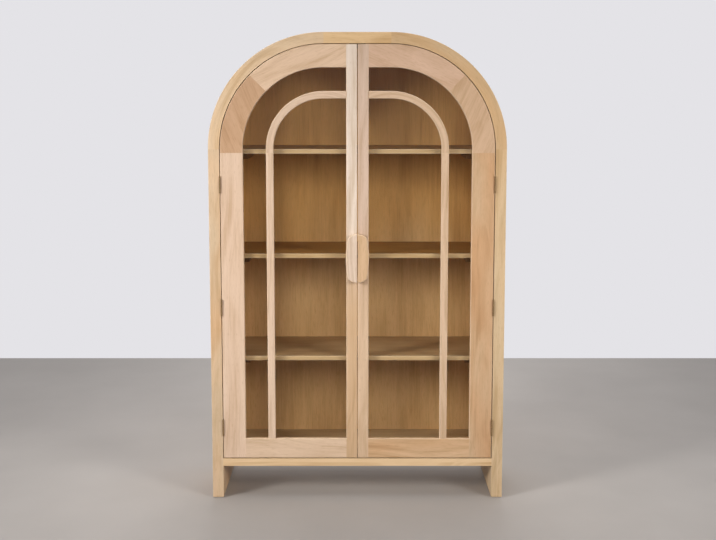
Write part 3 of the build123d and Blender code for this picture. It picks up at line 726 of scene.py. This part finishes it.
# ---------------------------------------------------------------------------------------
# Hinges: pressed steel leaves rolled into knuckles round a pin, screwed into housings in the
# case and the doors' edges. Antique brass plating, a dull brownish gold, hides them against the
# wood.
# ---------------------------------------------------------------------------------------
brass = plated("antique_brass_plated_steel", "#C4A67C", roughness=0.5, blotch_mm=4)
hinge_screw = countersunk_screw("hinge_screw", *SMALL_SCREW, length_mm=16)
for side, inward in zip(SIDES, (1, -1)):
    door = f"{side}_door"
    for piece in ("case_leaves", "door_leaves", "pins"):
        finish(f"{side}_hinge_{piece}", brass)
    set_screws(hinge_screw, f"{side}_hinge_case_screws", (inward, 0, 0), "case", brass)
    set_screws(hinge_screw, f"{side}_hinge_door_screws", (-inward, 0, 0), door, brass)
bpy.data.objects.remove(hinge_screw)

# ---------------------------------------------------------------------------------------
# Door frames: 22 mm stiles, rails and arched lengths of paler, pinker boards, joined with
# loose tenons. The arched rails are sawn from straight boards, so their grain runs straight.
# ---------------------------------------------------------------------------------------
STILE_BORDER = 0.85                # metres up, where the meeting stiles change their tone
# The right door's boards are darker than the left's: partly their wood, partly painted shade on the right
# of the front
# Each board's tone, how far its grain turns from the cabinet's width, and what else it has
DOOR_BOARDS = {
    "left": {
        "outer_stile": ("#DDC1A9", 90, {"figure": 0.35}),
        "meeting_stile": ("#E4D3C4", 90, {"lower": ("#CDAC89", STILE_BORDER)}),
        "bottom_rail": ("#DABEA3", 0, {}),
        "arch_lower": ("#C6A181", 112, {"figure": 0.4}),
        "arch_upper": ("#DFC1A5", 22, {"figure": 0.4}),
    },
    "right": {
        "outer_stile": ("#CAAA88", 90, {"heart": (55, -10), "taper": 0.05, "blush": "#C6956A"}),
        "meeting_stile": ("#CEB4A0", 90, {"lower": ("#D5B89B", STILE_BORDER)}),
        "bottom_rail": ("#D0AE8A", 0, {"blush": "#C4966A"}),
        "arch_lower": ("#CCAC8E", 68, {"figure": 0.4}),
        "arch_upper": ("#D2B197", 158, {"figure": 0.4}),
    },
}
for side, boards in DOOR_BOARDS.items():
    for member, (tone, turn, more) in boards.items():
        ash(f"{side}_door_{member}", tone, turn, **more)

# ---------------------------------------------------------------------------------------
# Glazing bars: an upright and a quarter arch on each door, which share the arch's centre. The
# arch's grain follows its bend. Thin beads behind the glass hold it.
# ---------------------------------------------------------------------------------------
# The right bars are darker than the left: partly their wood, partly painted shade on the right of the
# front
BAR_TONES = {"left": "#DBC0A9", "right": "#D1B498"}
for side, tone in BAR_TONES.items():
    ash(f"{side}_door_bar_upright", tone)
    ash(f"{side}_door_bar_arch", tone, bend=BENDS[side])
    ash(f"{side}_door_glazing_beads", "#CFAB88")

# ---------------------------------------------------------------------------------------
# Glass: 4 mm clear float glass, held in the rebates by beads. It is clean, with the faint
# green of its iron. Its IOR is below the 1.5 of real glass, so that reflections stay faint.
# ---------------------------------------------------------------------------------------
glass, tree = blank("float_glass")
tint = colour("#FCFEFD")
pane = add(
    tree, "BsdfPrincipled", {"Base Color": tint, "Roughness": 0.02, "IOR": 1.2, "Transmission Weight": 1.0}
)
clear = add(tree, "BsdfTransparent", {"Color": tint})
path = add(tree, "LightPath").outputs
lets = add(
    tree, "Math", {0: path["Is Shadow Ray"], 1: path["Is Diffuse Ray"]}, operation="MAXIMUM"
).outputs[0]
both = add(tree, "MixShader", {0: lets, 1: pane.outputs[0], 2: clear.outputs[0]})
add(tree, "OutputMaterial", {"Surface": both.outputs[0]})
for side in SIDES:
    finish(f"{side}_door_glass", glass)

# ---------------------------------------------------------------------------------------
# Pulls: the two halves of a long oval, sawn from a board thicker than the door, with a
# rounded rim and a finger cove behind, and screwed on through the meeting stiles.
# ---------------------------------------------------------------------------------------
# The right pull is darker than the left: partly its wood, partly painted shade on the right of the front
ash("left_door_pull", "#DFCAB9")
ash("right_door_pull", "#CEAD8A")
